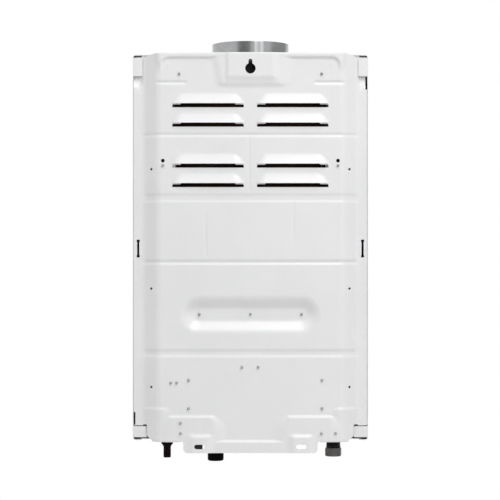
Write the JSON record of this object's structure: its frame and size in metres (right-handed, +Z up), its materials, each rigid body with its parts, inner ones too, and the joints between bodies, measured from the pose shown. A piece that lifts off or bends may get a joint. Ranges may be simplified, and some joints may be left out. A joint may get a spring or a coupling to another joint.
{
  "type": "tankless gas water heater",
  "caption": "Wall-hung flued tankless propane water heater with a pressed louvred rear panel, deep white cover, round flue collar, front knobs and bottom pipe fittings.",
  "frame": {"origin": "centre of the hanging keyhole's round hole, on the panel face that meets the wall", "axes": "+Y out of the rear panel towards the wall, -Y towards the controls, +Z up through the flue, X across the case"},
  "size_m": [0.332, 0.189, 0.5999],
  "materials": {
    "white_enamel": "white baked enamel on pressed steel",
    "galvanised": "galvanised sheet, spangled and lightly brushed",
    "copper": "bright copper, heat tinted",
    "brass": "cast and machined brass",
    "alloy": "die-cast aluminium, as cast",
    "stainless": "pressed stainless steel",
    "screw_steel": "zinc-plated tapping screws",
    "black_plastic": "moulded black plastic",
    "dark_red_plastic": "moulded dark red plastic",
    "grey_plastic": "moulded grey plastic",
    "ceramic": "glazed ceramic",
    "rubber": "black rubber",
    "clear_pane": "smoked clear pane",
    "battery_case": "printed steel battery can, plain",
    "dull_steel": "grey phosphated steel"
  },
  "bodies": {
    "case": {"back_plate": "white_enamel", "front_cover": "white_enamel", "base_plate": "white_enamel", "chassis_screws": "screw_steel", "cover_screws": "screw_steel", "flue_collar": "galvanised", "draft_hood": "galvanised", "exchanger_shell": "copper", "exchanger_fins": "copper", "exchanger_tubes": "copper", "combustion_chamber": "copper", "chamber_coil": "copper", "exchanger_brackets": "galvanised", "overheat_switch": "black_plastic", "burner_tray": "stainless", "burner_bars": "stainless", "burner_bracket": "galvanised", "gas_manifold": "alloy", "gas_nozzles": "brass", "electrodes": "ceramic", "electrode_plate": "stainless", "gas_valve": "alloy", "season_valve": "alloy", "gas_solenoid": "dull_steel", "water_valve": "brass", "water_valve_cover": "brass", "membrane": "rubber", "water_valve_bolts": "screw_steel", "microswitch": "black_plastic", "cold_pipe": "copper", "hot_pipe": "copper", "cold_inlet": "dull_steel", "hot_outlet": "dull_steel", "hot_outlet_nut": "dull_steel", "gas_inlet": "brass", "fitting_grommets": "rubber", "component_brackets": "galvanised", "ignition_box": "black_plastic", "battery_box": "grey_plastic", "batteries": "battery_case", "display_window": "clear_pane", "display_board": "black_plastic", "sight_glass": "clear_pane"},
    "valve_stem": {"valve_stem": "stainless"},
    "switch_lever": {"switch_lever": "stainless"},
    "drain_seal": {"drain_seal": "rubber"},
    "drain_plug": {"drain_plug": "dark_red_plastic"},
    "gas_cap": {"gas_inlet_cap": "black_plastic"},
    "battery_door": {"battery_door": "grey_plastic"},
    "gas_knob": {"gas_knob": "black_plastic", "gas_spindle": "brass"},
    "water_knob": {"water_knob": "black_plastic", "water_spindle": "brass"},
    "season_knob": {"season_knob": "black_plastic", "season_spindle": "brass"}
  },
  "joints": [
    {"name": "gas_knob_turn", "type": "hinge", "parent": "case", "child": "gas_knob", "pos_m": [0, -0.172, -0.436], "axis": [0, -1, 0], "range_deg": [-270, 0]},
    {"name": "water_knob_turn", "type": "hinge", "parent": "case", "child": "water_knob", "pos_m": [0.084, -0.172, -0.436], "axis": [0, -1, 0], "range_deg": [-270, 0]},
    {"name": "season_knob_turn", "type": "hinge", "parent": "case", "child": "season_knob", "pos_m": [-0.084, -0.172, -0.436], "axis": [0, -1, 0], "range_deg": [-90, 90]},
    {"name": "battery_door_swing", "type": "hinge", "parent": "case", "child": "battery_door", "pos_m": [-0.048, -0.073, -0.5243], "axis": [1, 0, 0], "range_deg": [0, 100]},
    {"name": "valve_stem_push", "type": "slide", "parent": "case", "child": "valve_stem", "axis": [-1, 0, 0], "range_m": [0, 0.005], "stiffness_N_per_m": 300},
    {"name": "switch_lever_swing", "type": "hinge", "parent": "case", "child": "switch_lever", "pos_m": [0.058, -0.085, -0.409], "axis": [0, 1, 0], "range_deg": [-0.5, 13]},
    {"name": "drain_screw_travel", "type": "slide", "parent": "case", "child": "drain_seal", "axis": [0, 0, -1], "range_m": [0, 0.00835]},
    {"name": "drain_screw_turn", "type": "hinge", "parent": "drain_seal", "child": "drain_plug", "pos_m": [0.1201, -0.085, -0.5225], "axis": [0, 0, -1], "range_deg": [0, 1980]},
    {"name": "gas_cap_pull", "type": "slide", "parent": "case", "child": "gas_cap", "axis": [0, 0, -1], "range_m": [0, 0.024]}
  ],
  "couplings": [
    {"joint": "switch_lever_swing", "follows": "valve_stem_push", "rad_per_m": 42.827},
    {"joint": "drain_screw_travel", "follows": "drain_screw_turn", "m_per_rad": 0.0002387}
  ]
}
